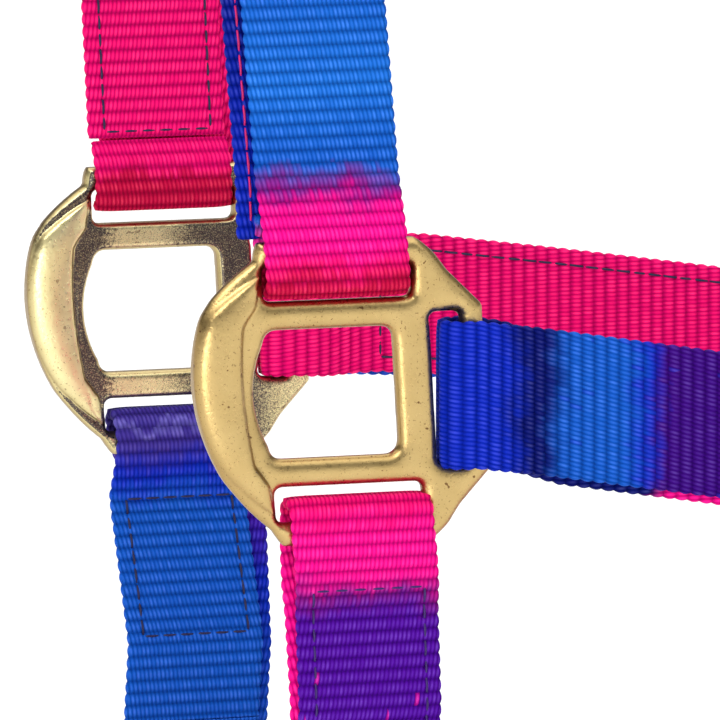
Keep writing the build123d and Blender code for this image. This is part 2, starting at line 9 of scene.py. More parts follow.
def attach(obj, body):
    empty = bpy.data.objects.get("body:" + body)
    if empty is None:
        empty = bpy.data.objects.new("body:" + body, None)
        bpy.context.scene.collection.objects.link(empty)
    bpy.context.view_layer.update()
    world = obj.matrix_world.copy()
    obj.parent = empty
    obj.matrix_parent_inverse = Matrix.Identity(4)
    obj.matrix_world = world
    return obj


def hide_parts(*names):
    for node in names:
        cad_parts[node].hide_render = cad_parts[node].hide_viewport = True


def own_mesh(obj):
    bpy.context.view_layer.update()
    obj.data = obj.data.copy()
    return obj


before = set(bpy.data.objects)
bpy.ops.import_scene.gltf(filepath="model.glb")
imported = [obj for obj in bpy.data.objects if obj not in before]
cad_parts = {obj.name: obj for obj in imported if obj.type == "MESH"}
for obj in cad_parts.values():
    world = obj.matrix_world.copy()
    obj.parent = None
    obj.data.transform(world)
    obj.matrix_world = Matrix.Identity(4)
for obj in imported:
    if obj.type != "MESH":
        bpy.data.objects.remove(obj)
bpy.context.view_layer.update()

# %% [markdown]
# A flat-webbing halter for a horse or pony.  Every strap is one inch of ribbed,
# tie-dyed webbing, sewn back on itself round cast brass fittings.
# The imported model gives every place in metres.  The straps are drawn again here
# with their ribs, and the castings are drawn again with soft foundry edges, so
# the size of the imported model is noted first.

# %% The size to keep
MM = 0.001
WEB_W = 25.4
WEB_T = 2.3
PLY = WEB_T / 2
HALF_SPAN = 54.0
RING_C = 18.5
RING_Z = -245.0
SQUARE_X = -194.5
SQUARE_Z = -224.0
RAIL_X = -168.5
SLANT = 0.0594
LEAD_X = -189.87
LEAD_Z = -324.0
THROAT_Z = -356.0

# %% [markdown]
# The camera stands a little to the nose side of the near cheek, slightly above
# the squares, with a very long lens, so that the straps stay nearly parallel.

# %% Camera
AZIMUTH = math.radians(17.2)
ELEVATION = math.radians(8.3)
DISTANCE = 1.69
LENS = 492.0


def unit(*values):
    """A direction of length one."""
    return Vector(values).normalized()


aim = Vector((SQUARE_X, -HALF_SPAN, SQUARE_Z)) * MM
toward_camera = unit(
    -math.sin(AZIMUTH) * math.cos(ELEVATION),
    -math.cos(AZIMUTH) * math.cos(ELEVATION),
    math.sin(ELEVATION),
)
right = toward_camera.cross(Vector((0, 0, 1))).normalized() * -1
up = toward_camera.cross(right)
aim = aim + right * 0.00515 + up * 0.0055
camera = bpy.data.objects.new("camera", bpy.data.cameras.new("camera"))
bpy.context.scene.collection.objects.link(camera)
camera.data.lens = LENS
camera.data.clip_end = 100
camera.location = aim + toward_camera * DISTANCE
camera.rotation_euler = toward_camera.to_track_quat("Z", "Y").to_euler()
bpy.context.scene.camera = camera
bpy.context.scene.view_settings.view_transform = "Standard"
print("camera at", tuple(round(v, 3) for v in camera.location))

# %% [markdown]
# A white studio: a plain pale floor, a white surround, one broad soft light
# above and to the left of the nose and a weaker one opposite.

# %% Studio
def srgb(red, green, blue):
    """A screen colour, 0 to 255, as linear light."""
    def channel(value):
        value = value / 255
        return value / 12.92 if value <= 0.04045 else ((value + 0.055) / 1.055) ** 2.4
    return (channel(red), channel(green), channel(blue), 1.0)


def new_material(name):
    """A material with one surface shader, and its node tree."""
    material = bpy.data.materials.new(name)
    material.use_nodes = True
    tree = material.node_tree
    return material, tree, tree.nodes["Principled BSDF"]


FLOOR_Z = -0.3725
bpy.ops.mesh.primitive_plane_add(size=80, location=(0, 0, FLOOR_Z))
floor = bpy.context.object
floor.name = "floor"
floor_paint, tree, shader = new_material("floor_paint")
shader.inputs["Base Color"].default_value = srgb(250, 250, 250)
shader.inputs["Roughness"].default_value = 0.9
floor.data.materials.append(floor_paint)

world = bpy.data.worlds.new("studio")
world.use_nodes = True
sky = world.node_tree
direction = sky.nodes.new("ShaderNodeSeparateXYZ")
sky.links.new(sky.nodes.new("ShaderNodeTexCoord").outputs["Generated"], direction.inputs[0])
heights = sky.nodes.new("ShaderNodeValToRGB")
sky.links.new(direction.outputs["Z"], heights.inputs["Fac"])
bands = heights.color_ramp.elements
for place in (0.16, 0.26, 0.55, 0.75):
    bands.new(place)
SKY = ((0.0, 0.57), (0.14, 0.57), (0.24, 0.125), (0.55, 0.125), (0.78, 1.0), (1.0, 1.0))
for band, (place, shade) in zip(bands, SKY):
    band.position = place
    band.color = (shade, shade, shade, 1.0)
sky.links.new(heights.outputs["Color"], sky.nodes["Background"].inputs["Color"])
sky.nodes["Background"].inputs["Strength"].default_value = 1.78
bpy.context.scene.world = world


def softbox(name, place, size, power):
    """A square area light that faces the squares."""
    lamp = bpy.data.objects.new(name, bpy.data.lights.new(name, "AREA"))
    bpy.context.scene.collection.objects.link(lamp)
    lamp.data.size = size
    lamp.data.energy = power
    lamp.location = place
    lamp.rotation_euler = (Vector(place) - aim).to_track_quat("Z", "Y").to_euler()
    return lamp


softbox("key", (-1.6, -1.8, 2.2), 1.2, 24)
softbox("fill", (1.9, -1.7, 1.2), 1.2, 4)
softbox("rim", (0.6, 2.2, 1.8), 1.4, 6)
low = softbox("low_strip", (-0.62, -0.68, -0.26), 0.2, 0.8)
low.visible_camera = False

# %% [markdown]
# Small helpers for shader trees: one value computed from others.

# %% Shader arithmetic
def calc(tree, operation, *values):
    """A maths node; each value is a number or the output of another node."""
    node = tree.nodes.new("ShaderNodeMath")
    node.operation = operation
    for socket, value in zip(node.inputs, values):
        if isinstance(value, (int, float)):
            socket.default_value = value
        else:
            tree.links.new(value, socket)
    return node.outputs[0]


def attribute(tree, name):
    """A number that the mesh carries at each point."""
    node = tree.nodes.new("ShaderNodeAttribute")
    node.attribute_name = name
    return node.outputs["Fac"]


def noise(tree, scale, detail=3.0, roughness=0.5, vector=None):
    """Smooth random values over the piece, about 0.5."""
    node = tree.nodes.new("ShaderNodeTexNoise")
    node.inputs["Scale"].default_value = scale
    node.inputs["Detail"].default_value = detail
    node.inputs["Roughness"].default_value = roughness
    if vector is None:
        vector = tree.nodes.new("ShaderNodeTexCoord").outputs["Object"]
    tree.links.new(vector, node.inputs["Vector"])
    return node.outputs["Fac"]


def mix(tree, factor, first, second, blend="MIX"):
    """One colour laid over another."""
    node = tree.nodes.new("ShaderNodeMix")
    node.data_type = "RGBA"
    node.blend_type = blend
    for socket, value in ((node.inputs[0], factor), (node.inputs[6], first), (node.inputs[7], second)):
        if isinstance(value, (int, float, tuple)):
            socket.default_value = value
        else:
            tree.links.new(value, socket)
    return node.outputs[2]


def ramp(tree, value, stops):
    """Colours read off along a scale from 0 to 1."""
    node = tree.nodes.new("ShaderNodeValToRGB")
    tree.links.new(value, node.inputs["Fac"])
    bar = node.color_ramp.elements
    for place, colour in stops[2:]:
        bar.new(place)
    for element, (place, colour) in zip(bar, sorted(stops, key=lambda stop: stop[0])):
        element.position = place
        element.color = colour
    return node.outputs["Color"]


# %% [markdown]
# The dye.  The plain webbing is folded and dipped, so the colours run in bands
# along each strap and bleed into each other where the dye crept through the
# folds.  The ribs are weft cords covered by fine warp yarns that lean slightly,
# which makes each rib a row of small slanting dashes.

# %% Dyed webbing
RIB = 2.25
YARN = 0.78
BLUE = srgb(14, 86, 192)
BRIGHT_BLUE = srgb(24, 108, 210)
ROYAL = srgb(6, 38, 182)
NAVY = srgb(2, 15, 104)
PURPLE = srgb(78, 4, 152)
DEEP_PURPLE = srgb(58, 2, 124)
VIOLET = srgb(120, 14, 128)
PINK = srgb(250, 4, 140)
HOT_PINK = srgb(243, 3, 112)
# crimson is painted shade, used only in the folds of the noseband round the squares' top rails
FOLD_SHADE_CRIMSON = srgb(192, 2, 62)
LILAC = srgb(129, 122, 213)
DUSK = srgb(60, 46, 142)


def dyed(name, bands, specks=None):
    """Webbing dyed in bands: (distance along the strap in mm, colour), with painted shade between the yarns and a
    painted highlight on them.
    """
    material, tree, shader = new_material(name)
    run = attribute(tree, "run")
    across = attribute(tree, "across")
    lift = attribute(tree, "lift")
    low = bands[0][0] - 1.0
    high = bands[-1][0] + 1.0
    row = calc(tree, "FLOOR", calc(tree, "DIVIDE", run, RIB))
    part = calc(tree, "FRACT", calc(tree, "DIVIDE", run, RIB))
    lean = calc(tree, "MULTIPLY", calc(tree, "SUBTRACT", part, 0.5), 0.4)
    step = calc(tree, "MULTIPLY", calc(tree, "MODULO", row, 2.0), 0.5)
    phase = calc(tree, "ADD", calc(tree, "ADD", calc(tree, "DIVIDE", across, YARN), lean), step)
    yarn = calc(tree, "SINE", calc(tree, "MULTIPLY", calc(tree, "FRACT", phase), math.pi))
    joined = tree.nodes.new("ShaderNodeCombineXYZ")
    tree.links.new(calc(tree, "FLOOR", phase), joined.inputs[0])
    tree.links.new(row, joined.inputs[1])
    single = tree.nodes.new("ShaderNodeTexWhiteNoise")
    tree.links.new(joined.outputs[0], single.inputs["Vector"])
    creep = calc(tree, "MULTIPLY", calc(tree, "SUBTRACT", noise(tree, 110, 3, 0.55), 0.5), 9.0)
    jitter = calc(tree, "MULTIPLY", calc(tree, "SUBTRACT", single.outputs["Value"], 0.5), 1.6)
    place = calc(tree, "ADD", calc(tree, "ADD", run, creep), jitter)
    scale = calc(tree, "DIVIDE", calc(tree, "SUBTRACT", place, low), high - low)
    stops = [((at - low) / (high - low), colour) for at, colour in bands]
    dye = ramp(tree, scale, stops)
    if specks:
        spotted = calc(tree, "GREATER_THAN", single.outputs["Value"], 0.95)
        near_band = calc(tree, "GREATER_THAN", noise(tree, 70, 2), 0.5)
        dye = mix(tree, calc(tree, "MULTIPLY", calc(tree, "MULTIPLY", spotted, near_band), 0.4), dye, specks)
    # shallow dye and a painted highlight on the raised yarns, deeper dye and painted shade down between them
    strand = calc(tree, "MULTIPLY_ADD", single.outputs["Value"], 0.5, 0.6)
    raised_dye_and_highlight = calc(tree, "MULTIPLY", calc(tree, "MULTIPLY", lift, yarn), strand)
    valley_dye_and_shade = mix(tree, 1.0, dye, (0.42, 0.42, 0.48, 1.0), "MULTIPLY")
    pale = mix(tree, 0.035, mix(tree, 1.0, dye, (1.5, 1.5, 1.4, 1.0), "MULTIPLY"), (1.0, 1.0, 1.0, 1.0))
    level = calc(tree, "MULTIPLY", calc(tree, "ADD", lift, calc(tree, "MULTIPLY", yarn, 0.6)), 0.75)
    # painted shade: darker between the ribs and the yarns, partly deeper dye
    colour = mix(tree, calc(tree, "MINIMUM", level, 1.0), valley_dye_and_shade, dye)
    # painted highlight: lighter on the raised yarns, partly shallower dye
    colour = mix(tree, calc(tree, "MINIMUM", calc(tree, "POWER", raised_dye_and_highlight, 2.2), 1.0), colour, pale)
    tree.links.new(colour, shader.inputs["Base Color"])
    fibre = noise(tree, 2600, 3, 0.6)
    height = calc(tree, "ADD", calc(tree, "MULTIPLY", yarn, 1.0), calc(tree, "MULTIPLY", fibre, 0.35))
    bump = tree.nodes.new("ShaderNodeBump")
    bump.inputs["Strength"].default_value = 0.75
    bump.inputs["Distance"].default_value = 0.00022
    tree.links.new(height, bump.inputs["Height"])
    tree.links.new(bump.outputs["Normal"], shader.inputs["Normal"])
    shader.inputs["Roughness"].default_value = 0.5
    shader.inputs["Specular IOR Level"].default_value = 0.03
    return material


# %% [markdown]
# One strap of webbing.  A rounded line in two directions gives the way the
# strap runs; the band is laid along it with its ribs, its scalloped woven edges
# and, where asked, punched holes.  Each point keeps its distance along the strap
# and its place across it, which the dye and the yarns are drawn from.

# %% Laying webbing along a line
CHANCE = np.random.default_rng(7)


def rounded_line(points, radii, step):
    """Evenly spaced points along a line whose corners are rounded."""
    points = [np.array(p, float) for p in points]
    line = [points[0]]
    for before, corner, after, radius in zip(points, points[1:], points[2:], radii):
        one = (before - corner) / np.linalg.norm(before - corner)
        two = (after - corner) / np.linalg.norm(after - corner)
        half = math.acos(float(np.clip(one @ two, -1, 1))) / 2
        middle = one + two
        if radius <= 0 or np.linalg.norm(middle) < 1e-6:
            line.append(corner)
            continue
        centre = corner + middle / np.linalg.norm(middle) * radius / math.sin(half)
        start = corner + one * radius / math.tan(half) - centre
        end = corner + two * radius / math.tan(half) - centre
        turn = math.atan2(start[0] * end[1] - start[1] * end[0], start @ end)
        for share in np.linspace(0, 1, max(8, int(abs(turn) * radius / step) + 2)):
            c, s = math.cos(turn * share), math.sin(turn * share)
            line.append(centre + np.array([c * start[0] - s * start[1], s * start[0] + c * start[1]]))
    line.append(points[-1])
    line = np.array(line)
    gaps = np.linalg.norm(np.diff(line, axis=0), axis=1)
    line = line[np.concatenate([[True], gaps > 1e-6])]
    along = np.concatenate([[0], np.cumsum(np.linalg.norm(np.diff(line, axis=0), axis=1))])
    count = int(round(along[-1] / step)) + 1
    spots = np.linspace(0, along[-1], count)
    return np.stack([np.interp(spots, along, line[:, k]) for k in (0, 1)], 1), spots


def strap(name, points, radii, place, wide, zero=None, width=WEB_W, rows=8, columns=20, cut=None):
    """The mesh of one strap, with its line kept for the stitching."""
    flat, run = rounded_line(points, radii, RIB / rows)
    centre = place(flat)
    if zero is not None:
        run = run - run[np.argmin(np.linalg.norm(flat - np.array(zero), axis=1))]
    wide = np.array(wide, float)
    heading = np.gradient(centre, axis=0)
    out = np.cross(heading, wide)
    out /= np.linalg.norm(out, axis=1)[:, None]
    wave = np.abs(np.sin(np.pi * run / RIB))
    uneven = 0.85 + 0.3 * CHANCE.random(int((run[-1] - run[0]) / RIB) + 4)
    index = ((run - run[0]) / RIB).astype(int)
    ridge = 0.34 * (wave**0.75) * uneven[index] - 0.34
    side = np.linspace(-1, 1, columns + 1)
    edge = width / 2 - 0.3 + 0.3 * wave
    rows_n = len(run)
    half = PLY - 0.28 * np.abs(side) ** 10
    thick = half[None, :] + ridge[:, None] * (1 - 0.4 * np.abs(side[None, :]) ** 8)
    spread = side[None, :] * edge[:, None]
    middle = centre[:, None, :] + spread[:, :, None] * wide
    front = middle + thick[:, :, None] * out[:, None, :]
    back = middle - thick[:, :, None] * out[:, None, :]
    rims = [centre + sign * (edge + 0.28)[:, None] * wide for sign in (-1, 1)]
    vertices = np.concatenate([front.reshape(-1, 3), back.reshape(-1, 3), rims[0], rims[1]])
    wide_n = columns + 1
    cells = rows_n * wide_n
    grid = np.arange(cells).reshape(rows_n, wide_n)
    keep = np.ones((rows_n - 1, columns), bool)
    if cut is not None:
        middle_run = (run[1:] + run[:-1])[:, None] / 2
        middle_side = (side[1:] + side[:-1])[None, :] / 2 * width / 2
        keep = ~cut(middle_run + 0 * middle_side, middle_side + 0 * middle_run)
    i, j = np.nonzero(keep)
    quads = [np.stack([grid[i, j], grid[i, j + 1], grid[i + 1, j + 1], grid[i + 1, j]], 1)]
    quads.append(quads[0][:, ::-1] + cells)
    padded = np.zeros((rows_n + 1, columns + 2), bool)
    padded[1:-1, 1:-1] = keep
    i, j = np.nonzero(padded[1:, 1:-1] != padded[:-1, 1:-1])
    flip = padded[1:, 1:-1][i, j]
    a, b = grid[i, j], grid[i, j + 1]
    wall = np.stack([np.where(flip, b, a), np.where(flip, a, b)], 1)
    quads.append(np.stack([wall[:, 0], wall[:, 1], wall[:, 1] + cells, wall[:, 0] + cells], 1))
    i, j = np.nonzero(padded[1:-1, 2:-1] != padded[1:-1, 1:-2])
    flip = padded[1:-1, 2:-1][i, j]
    a, b = grid[i, j + 1], grid[i + 1, j + 1]
    wall = np.stack([np.where(flip, a, b), np.where(flip, b, a)], 1)
    quads.append(np.stack([wall[:, 0], wall[:, 1], wall[:, 1] + cells, wall[:, 0] + cells], 1))
    k = np.arange(rows_n - 1)
    for column, rim, order in ((0, 2 * cells, 1), (columns, 2 * cells + rows_n, -1)):
        top, low, mid = grid[:, column], grid[:, column] + cells, rim + np.arange(rows_n)
        quads.append(np.stack([top[k], top[k + 1], mid[k + 1], mid[k]], 1)[:, ::order])
        quads.append(np.stack([mid[k], mid[k + 1], low[k + 1], low[k]], 1)[:, ::order])
    mesh = bpy.data.meshes.new(name)
    mesh.from_pydata((vertices * MM).tolist(), [], np.concatenate(quads).tolist())
    rim_side = np.ones(rows_n) * (width / 2)
    values = {
        "run": np.concatenate([np.repeat(run, wide_n), np.repeat(run, wide_n), run, run]),
        "across": np.concatenate([spread.ravel(), spread.ravel(), -rim_side, rim_side]),
        "lift": np.concatenate([np.repeat(wave, wide_n), np.repeat(wave, wide_n), wave, wave]),
    }
    for key, data in values.items():
        mesh.attributes.new(key, "FLOAT", "POINT").data.foreach_set("value", data.astype(np.float32))
    mesh.polygons.foreach_set("use_smooth", [True] * len(mesh.polygons))
    mesh.update()
    piece = bpy.data.objects.new(name, mesh)
    bpy.context.scene.collection.objects.link(piece)
    print(name, "length", round(float(run[-1] - run[0]), 1), "mm,", len(mesh.polygons), "faces")
    return {"piece": piece, "run": run, "centre": centre, "out": out, "wide": wide}


def fit(made, dye, body, *nodes):
    """Colours a piece, ties it to the part of the halter it moves with."""
    piece = made["piece"] if isinstance(made, dict) else made
    piece.data.materials.append(dye)
    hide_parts(*nodes)
    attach(piece, body)
    return made


# %% [markdown]
# The noseband.  Its outer ply goes through the top slot of each square, folds
# round the rail from the front, and ends under a second ply that lines it.
# Both lean back by the same few degrees as the squares.

# %% Noseband
ARCH = 70.0
ARCH_R = HALF_SPAN + PLY


def nose_place(flat):
    """(across the head, height above the squares' middle) to a place in mm."""
    y, z = flat[:, 0], flat[:, 1]
    near_back = np.interp(z, [17.6, ARCH], [1.8, 0.6])
    far_back = np.interp(z, [17.6, ARCH], [3.2, 3.9])
    back = near_back + (far_back - near_back) * np.interp(y, [-HALF_SPAN, HALF_SPAN], [0.0, 1.0])
    back = back + np.clip((y - HALF_SPAN) / PLY, -1, 1) * np.interp(y, [0.0, HALF_SPAN / 2], [0.0, 1.3])
    return np.stack([SQUARE_X - SLANT * np.minimum(z, ARCH) + back, y, SQUARE_Z + z], 1)


NEAR_FOLD = 17.6
FAR_FOLD = 19.3


def nose_leg(out, tail):
    """The loop round one square's top rail, from the tail to the outer ply."""
    low = NEAR_FOLD if out < 0 else FAR_FOLD
    steps = [(-1.35, tail), (-3.3, 27.0), (-3.3, low), (3.3, low), (3.3, 27.5), (PLY, 38.0)]
    return [(out * (HALF_SPAN + d), z) for d, z in steps]


top = ARCH + ARCH_R
outer_points = nose_leg(-1, 31.0) + [(-ARCH_R, top), (ARCH_R, top)] + nose_leg(1, 31.0)[::-1]
outer_radii = [3, 3.0, 3.0, 3, 12, ARCH_R - 0.2, ARCH_R - 0.2, 12, 3, 3.0, 3.0, 3]
nose_outer = strap("noseband_outer_ply", outer_points, outer_radii, nose_place, (1, 0, 0), zero=(-HALF_SPAN, 17.6))
span = nose_outer["run"][-1] - 19.0
# The crimson bands near run 0 and past span are painted shade in the two folds round the squares' top rails.
near_top = [
    (-15, BLUE), (-9, PINK), (-5, FOLD_SHADE_CRIMSON), (4, FOLD_SHADE_CRIMSON), (7, HOT_PINK), (10, PINK), (16.5, PINK),
    (20, VIOLET), (24, BLUE), (38, BRIGHT_BLUE), (60, BLUE), (90, ROYAL), (120, PURPLE), (150, PINK),
    (185, HOT_PINK), (span - 60, PINK), (span - 8, HOT_PINK), (span, FOLD_SHADE_CRIMSON), (span + 11, FOLD_SHADE_CRIMSON),
    (span + 14.5, HOT_PINK), (span + 20, HOT_PINK),
]
fit(nose_outer, dyed("nose_dye", near_top), "muzzle", "noseband_outer")


def inner_place(flat):
    """The lining ply, which sits a little forward of the outer one."""
    spot = nose_place(flat)
    spot[:, 0] -= np.interp(flat[:, 0], [-HALF_SPAN, HALF_SPAN], [2.9, 0.4])
    return spot


IN_R = HALF_SPAN - PLY
inner_points = [(-HALF_SPAN + 3.4, 26.8), (-IN_R + 0.1, 36), (-IN_R, ARCH + IN_R), (IN_R, ARCH + IN_R), (IN_R, 31.8)]
nose_inner = strap("noseband_lining", inner_points, [10, IN_R - 0.2, IN_R - 0.2], inner_place, (1, 0, 0))
length = nose_inner["run"][-1]
lining = [(0, ROYAL), (60, NAVY), (110, PURPLE), (150, PINK), (length - 60, HOT_PINK), (length, HOT_PINK)]
fit(nose_inner, dyed("lining_dye", lining), "muzzle", "noseband_inner")

# %% [markdown]
# The chin straps.  Each is one length of webbing taken round the bottom rail of
# its square and round the lead ring under the jaw, and sewn to itself.

# %% Chin straps
CHIN_BEND = 22.0
LEAD_DOWN = LEAD_Z - SQUARE_Z
LEAD_IN = 18.2
LEAD_OUT = 30.95
LEAD_H = 4.95


def chin_place(flat):
    """(across the head, height above the squares' middle), leaning back."""
    y, z = flat[:, 0], flat[:, 1]
    near_lean = np.interp(z, [LEAD_DOWN + 15, -55.0, -19.0], [0.0, 3.2, 3.6])
    far_lean = np.interp(z, [LEAD_DOWN, -62.0, -40.0, -19.0], [0.0, 4.4, 3.9, 2.7])
    back = np.where(y < 0, near_lean, far_lean)
    apart = np.interp(z, [-60.0, -34.0, -24.0], [0.5, 1.0, 0.0]) * np.where(y < 0, 0.7, 2.3)
    ply = np.clip((np.abs(y) - HALF_SPAN) / PLY, -1, 1) * apart
    return np.stack([SQUARE_X - SLANT * np.maximum(z, LEAD_DOWN + CHIN_BEND) + back + ply, y, SQUARE_Z + z], 1)


def chin_strap(side, out, bands):
    """One chin strap, on the side of the head given by out."""
    steps = [
        (HALF_SPAN - PLY, -76.0), (HALF_SPAN - PLY, -38.0), (HALF_SPAN - 3.3, -28.0),
        (HALF_SPAN - 3.3, -19.0), (HALF_SPAN + 3.3, -19.0), (HALF_SPAN + 3.3, -28.0),
        (HALF_SPAN + PLY, -38.0), (HALF_SPAN + PLY, LEAD_DOWN - PLY),
        (LEAD_OUT + 5, LEAD_DOWN - PLY), (LEAD_OUT - 1, LEAD_DOWN - LEAD_H), (LEAD_IN - 2, LEAD_DOWN - LEAD_H),
        (LEAD_IN - 2, LEAD_DOWN + LEAD_H), (LEAD_OUT - 1, LEAD_DOWN + LEAD_H), (LEAD_OUT + 5, LEAD_DOWN + PLY),
        (HALF_SPAN - PLY, LEAD_DOWN + PLY), (HALF_SPAN - PLY, -76.2),
    ]
    radii = [12, 5, 3.0, 3.0, 5, 12, CHIN_BEND + PLY, 4, 3, 4.4, 4.4, 3, 4, CHIN_BEND - PLY]
    points = [(out * y, z) for y, z in steps]
    made = strap(f"chin_webbing_{side}", points, radii, chin_place, (1, 0, 0), zero=(out * HALF_SPAN, -19.0))
    return fit(made, dyed(f"chin_dye_{side}", bands, PINK if out < 0 else None), "muzzle", f"chin_strap_{side}")


chin_near_bands = [
    (-40, PINK), (-6, PINK), (-3, HOT_PINK), (3, HOT_PINK), (8, PINK), (13.5, PINK), (18, VIOLET),
    (22, PURPLE), (60, PURPLE), (75, BLUE), (110, ROYAL), (150, PINK), (190, PURPLE),
]
chin_near = chin_strap("near", -1, chin_near_bands)
chin_far_bands = [
    (-44, BLUE), (-20, BLUE), (-12, ROYAL), (-7, DUSK), (-4.6, DUSK), (-3.9, LILAC), (-3.2, DUSK),
    (8, DUSK), (16, PURPLE), (34, ROYAL), (70, BLUE), (110, PURPLE), (150, PINK), (190, BLUE),
]
chin_far = chin_strap("far", 1, chin_far_bands)

# %% [markdown]
# The cheek straps run back from the squares' rear rails and slope down to the
# cheek rings.  Again one length, doubled, with a loop at each end.

# %% Cheek straps
RAIL_LOOP = 5.5
RING_LOOP = 4.0


def cheek_place(side):
    """(along the head, outward) to a place in mm; the near strap sags a little."""
    sag = [-1.2, -1.9, -2.6, -2.6, 0.0] if side < 0 else [-0.2, 1.6, 1.6, 1.0, 0.0]
    drop = 1.5 if side < 0 else -0.9
    def place(flat):
        x, y = flat[:, 0], flat[:, 1]
        z = np.interp(x, [RAIL_X, -RING_C], [SQUARE_Z, RING_Z])
        z = z + np.interp(x, [RAIL_X, RAIL_X + 25, RAIL_X + 50, RAIL_X + 100, -RING_C], sag)
        open_run = [RAIL_X + 6, RAIL_X + 16, -RING_C - 16, -RING_C - 6]
        z = z - np.clip((PLY - y) / (2 * PLY), 0, 1) * drop * np.interp(x, open_run, [0, 1, 1, 0])
        return np.stack([x, side * (HALF_SPAN + y), z], 1)
    return place


def cheek_strap(side, out, bands):
    """One cheek strap, doubled between its two bars."""
    front, rear = RAIL_X - RAIL_LOOP, -RING_C + RING_LOOP
    points = [
        (-60.0, -PLY), (RAIL_X + 11, -PLY), (RAIL_X + 3, -3.5), (front, -3.5), (front, 3.5), (RAIL_X + 3, 3.5),
        (RAIL_X + 11, PLY), (-RING_C - 9, PLY), (-RING_C - 1, 4.0), (rear, 4.0), (rear, -4.0), (-RING_C - 1, -4.0),
        (-RING_C - 9, -PLY), (-59.8, -PLY),
    ]
    radii = [8, 5, 3.2, 3.2, 5, 8, 8, 5, 3.9, 3.9, 5, 8]
    made = strap(f"cheek_webbing_{side}", points, radii, cheek_place(out), (0, 0, 1), zero=(front, 0.0))
    return fit(made, dyed(f"cheek_dye_{side}", bands, ROYAL if out < 0 else None), f"cheek_{side}", f"cheek_strap_{side}")


# The navy band a little behind the front loop, from 17 to 20 mm, is partly navy dye and partly painted shade where
# the strap bends in from the loop to its flat run.
cheek_near_bands = [
    (-62, PINK), (-44, PINK), (-40, NAVY), (-6, NAVY), (0, ROYAL), (12, ROYAL), (17, NAVY), (20, NAVY),
    (25, BLUE), (35, BLUE), (39, ROYAL), (42, DEEP_PURPLE), (70, DEEP_PURPLE), (95, PINK), (130, BLUE),
    (175, PURPLE), (260, PINK),
]
cheek_near = cheek_strap("near", -1, cheek_near_bands)
cheek_far_bands = [
    (-72, HOT_PINK), (0, HOT_PINK), (5, HOT_PINK), (11, BLUE), (60, ROYAL), (100, PURPLE), (150, BLUE),
    (200, PURPLE), (250, HOT_PINK),
]
cheek_far = cheek_strap("far", 1, cheek_far_bands)

# %% [markdown]
# The crown strap goes over the poll.  It is doubled above the far cheek ring
# and runs down the near side to the buckle as a single ply with brass eyelets,
# so the holes are punched through the webbing here.

# %% Crown strap
BILLET = -199.0
RING_TOP = RING_Z + RING_C
HOLES = [-184.3, -165.3, -146.3, -127.3, -108.3]


def head_place(flat):
    """(across the head, height), in the plane of the cheek rings."""
    return np.stack([0 * flat[:, 0], flat[:, 0], flat[:, 1]], 1)


crown_points = [
    (HALF_SPAN - PLY, RING_TOP + 60), (HALF_SPAN - PLY, RING_TOP + 9),
    (HALF_SPAN - 4, RING_TOP + 1), (HALF_SPAN - 4, RING_TOP - 4),
    (HALF_SPAN + 4, RING_TOP - 4), (HALF_SPAN + 4, RING_TOP + 1),
    (HALF_SPAN + PLY, RING_TOP + 9), (HALF_SPAN + PLY, PLY),
    (-HALF_SPAN - PLY, PLY), (-HALF_SPAN - PLY, BILLET),
]
crown_radii = [8, 5, 3.9, 3.9, 5, 8, 54.9, 54.9]
flat, crown_run = rounded_line(crown_points, crown_radii, RIB / 6)
hole_runs = [float(crown_run[-1] - (z - BILLET)) for z in HOLES]


def punched(run, across):
    """True where an eyelet's hole goes through the crown strap."""
    gone = np.zeros(run.shape, bool)
    for at in hole_runs:
        gone |= (run - at) ** 2 + across**2 < 4.1**2
    return gone


crown = strap(
    "crown_webbing", crown_points, crown_radii, head_place, (1, 0, 0), rows=6, columns=26, cut=punched
)
crown_bands = [
    (0, PINK), (60, HOT_PINK), (130, PURPLE), (190, BLUE), (260, ROYAL), (320, PURPLE), (380, PINK),
    (450, BLUE), (520, PINK),
]
fit(crown, dyed("crown_dye", crown_bands), "head", "crown_strap")

# %% [markdown]
# The buckle's tab, doubled between the near cheek ring and the buckle's heel
# bar, with a slot for the tongue; and the two keepers, bands of narrow webbing.

# %% Tab and keepers
HEEL = (-48.3, -166.5)
TAB_BOTTOM = (-HALF_SPAN, RING_TOP)


def doubled(start, end, start_loop, end_loop, gap=PLY):
    """The line of webbing doubled between two bars, with its loops."""
    start, end = np.array(start, float), np.array(end, float)
    ahead = (end - start) / np.linalg.norm(end - start)
    left = np.array([-ahead[1], ahead[0]])
    middle = (start + end) / 2
    steps = [middle + gap * left, start + 9 * ahead + gap * left, start + ahead + start_loop * left,
             start - start_loop * ahead + start_loop * left, start - start_loop * ahead - start_loop * left,
             start + ahead - start_loop * left, start + 9 * ahead - gap * left, end - 9 * ahead - gap * left,
             end - ahead - end_loop * left, end + end_loop * ahead - end_loop * left,
             end + end_loop * ahead + end_loop * left, end - ahead + end_loop * left,
             end - 9 * ahead + gap * left, middle + gap * left + 0.2 * ahead]
    radii = [8, 5, start_loop - 0.1, start_loop - 0.1, 5, 8, 8, 5, end_loop - 0.1, end_loop - 0.1, 5, 8]
    return [tuple(p) for p in steps], radii


tab_points, tab_radii = doubled(TAB_BOTTOM, HEEL, 4.0, 3.7)
tab_flat, tab_run = rounded_line(tab_points, tab_radii, RIB / 8)
near_heel = tab_run[np.linalg.norm(tab_flat - np.array(HEEL), axis=1) < 6.4]


def tongue_slot(run, across):
    """True where the tab is cut away for the buckle's tongue."""
    return (run > near_heel.min()) & (run < near_heel.max()) & (np.abs(across) < 3.1)


tab = strap("tab_webbing", tab_points, tab_radii, head_place, (1, 0, 0), cut=tongue_slot)
tab_bands = [
    (0, BLUE), (40, PINK), (80, PURPLE), (120, ROYAL), (150, BLUE),
]
fit(tab, dyed("tab_dye", tab_bands), "head", "buckle_tab")


